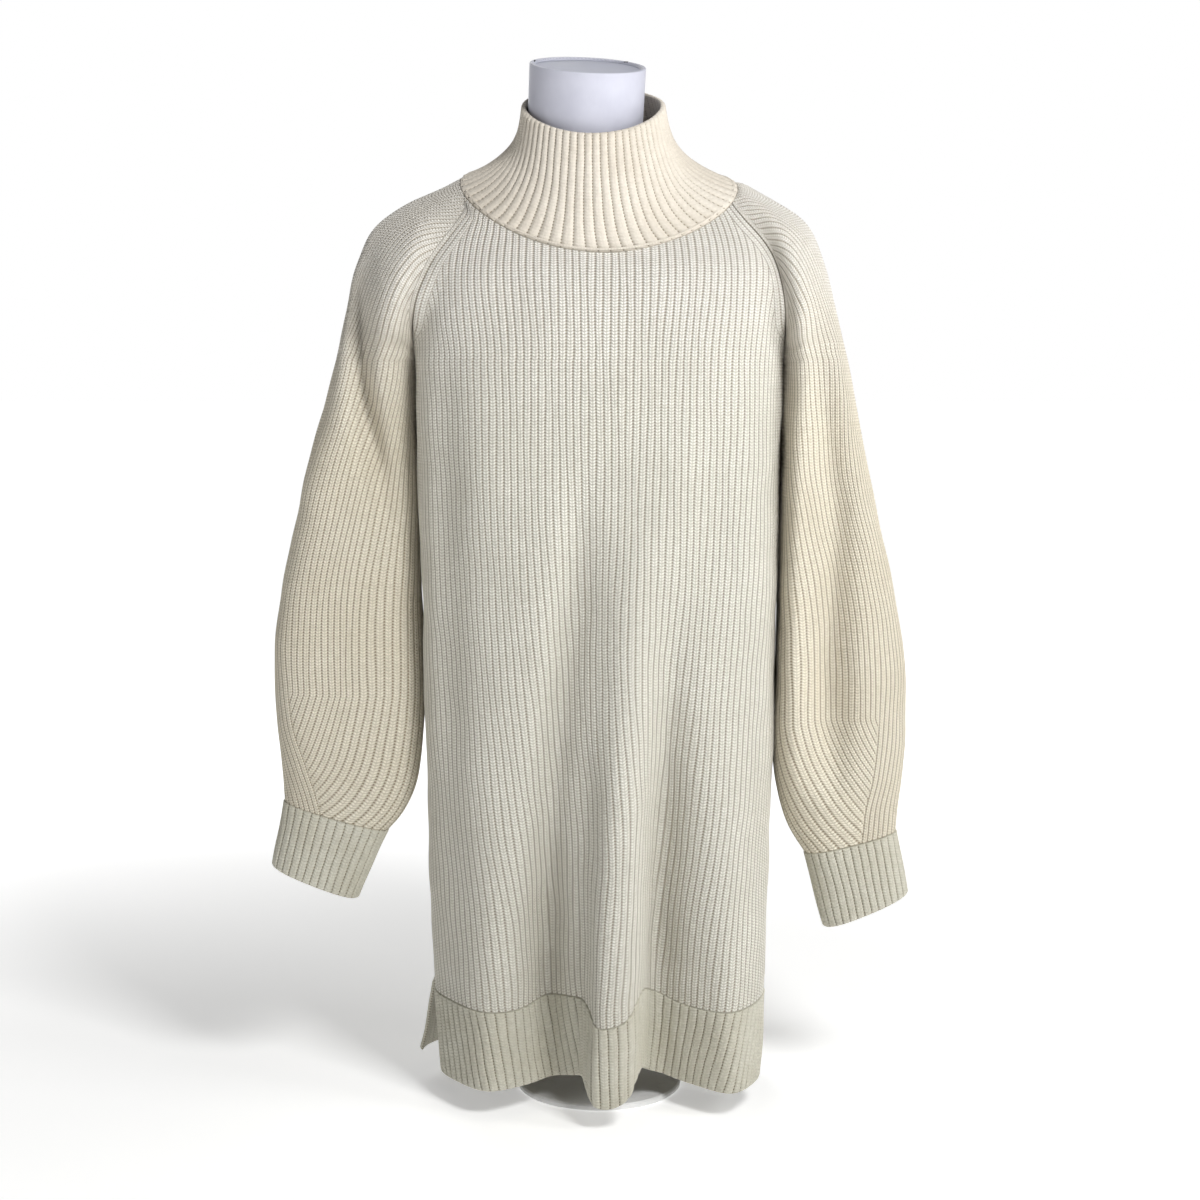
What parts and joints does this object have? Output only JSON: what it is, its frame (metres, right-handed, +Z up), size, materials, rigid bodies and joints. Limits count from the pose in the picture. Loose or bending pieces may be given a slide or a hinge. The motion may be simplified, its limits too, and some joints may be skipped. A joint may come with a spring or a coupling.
{
  "type": "sweater dress on a limbless dress form",
  "caption": "Rib-knit raglan sweater dress with a funnel collar, full sleeves, deep cuffs and side vents, worn by a smooth limbless dress form that stands on a pole and a flat round foot.",
  "frame": {"origin": "centre of the foot's underside, on the floor", "axes": "+Z up; +X to the right of someone facing the front of the dress; the front faces -Y"},
  "size_m": [0.6166, 0.2719, 0.9981],
  "materials": {
    "ivory_wool_knit": "soft matte ivory wool in a half-cardigan rib",
    "white_form_cover": "smooth close white jersey cover over a hard form",
    "white_coated_steel": "satin white powder coat"
  },
  "bodies": {
    "root": {"front_panel": "ivory_wool_knit", "back_panel": "ivory_wool_knit", "front_hem_band": "ivory_wool_knit", "back_hem_band": "ivory_wool_knit", "sleeve_left": "ivory_wool_knit", "sleeve_right": "ivory_wool_knit", "cuff_left": "ivory_wool_knit", "cuff_right": "ivory_wool_knit", "collar": "ivory_wool_knit", "form_torso": "white_form_cover", "neck_cap": "white_form_cover", "stand_pole": "white_coated_steel", "stand_foot": "white_coated_steel"}
  },
  "joints": []
}
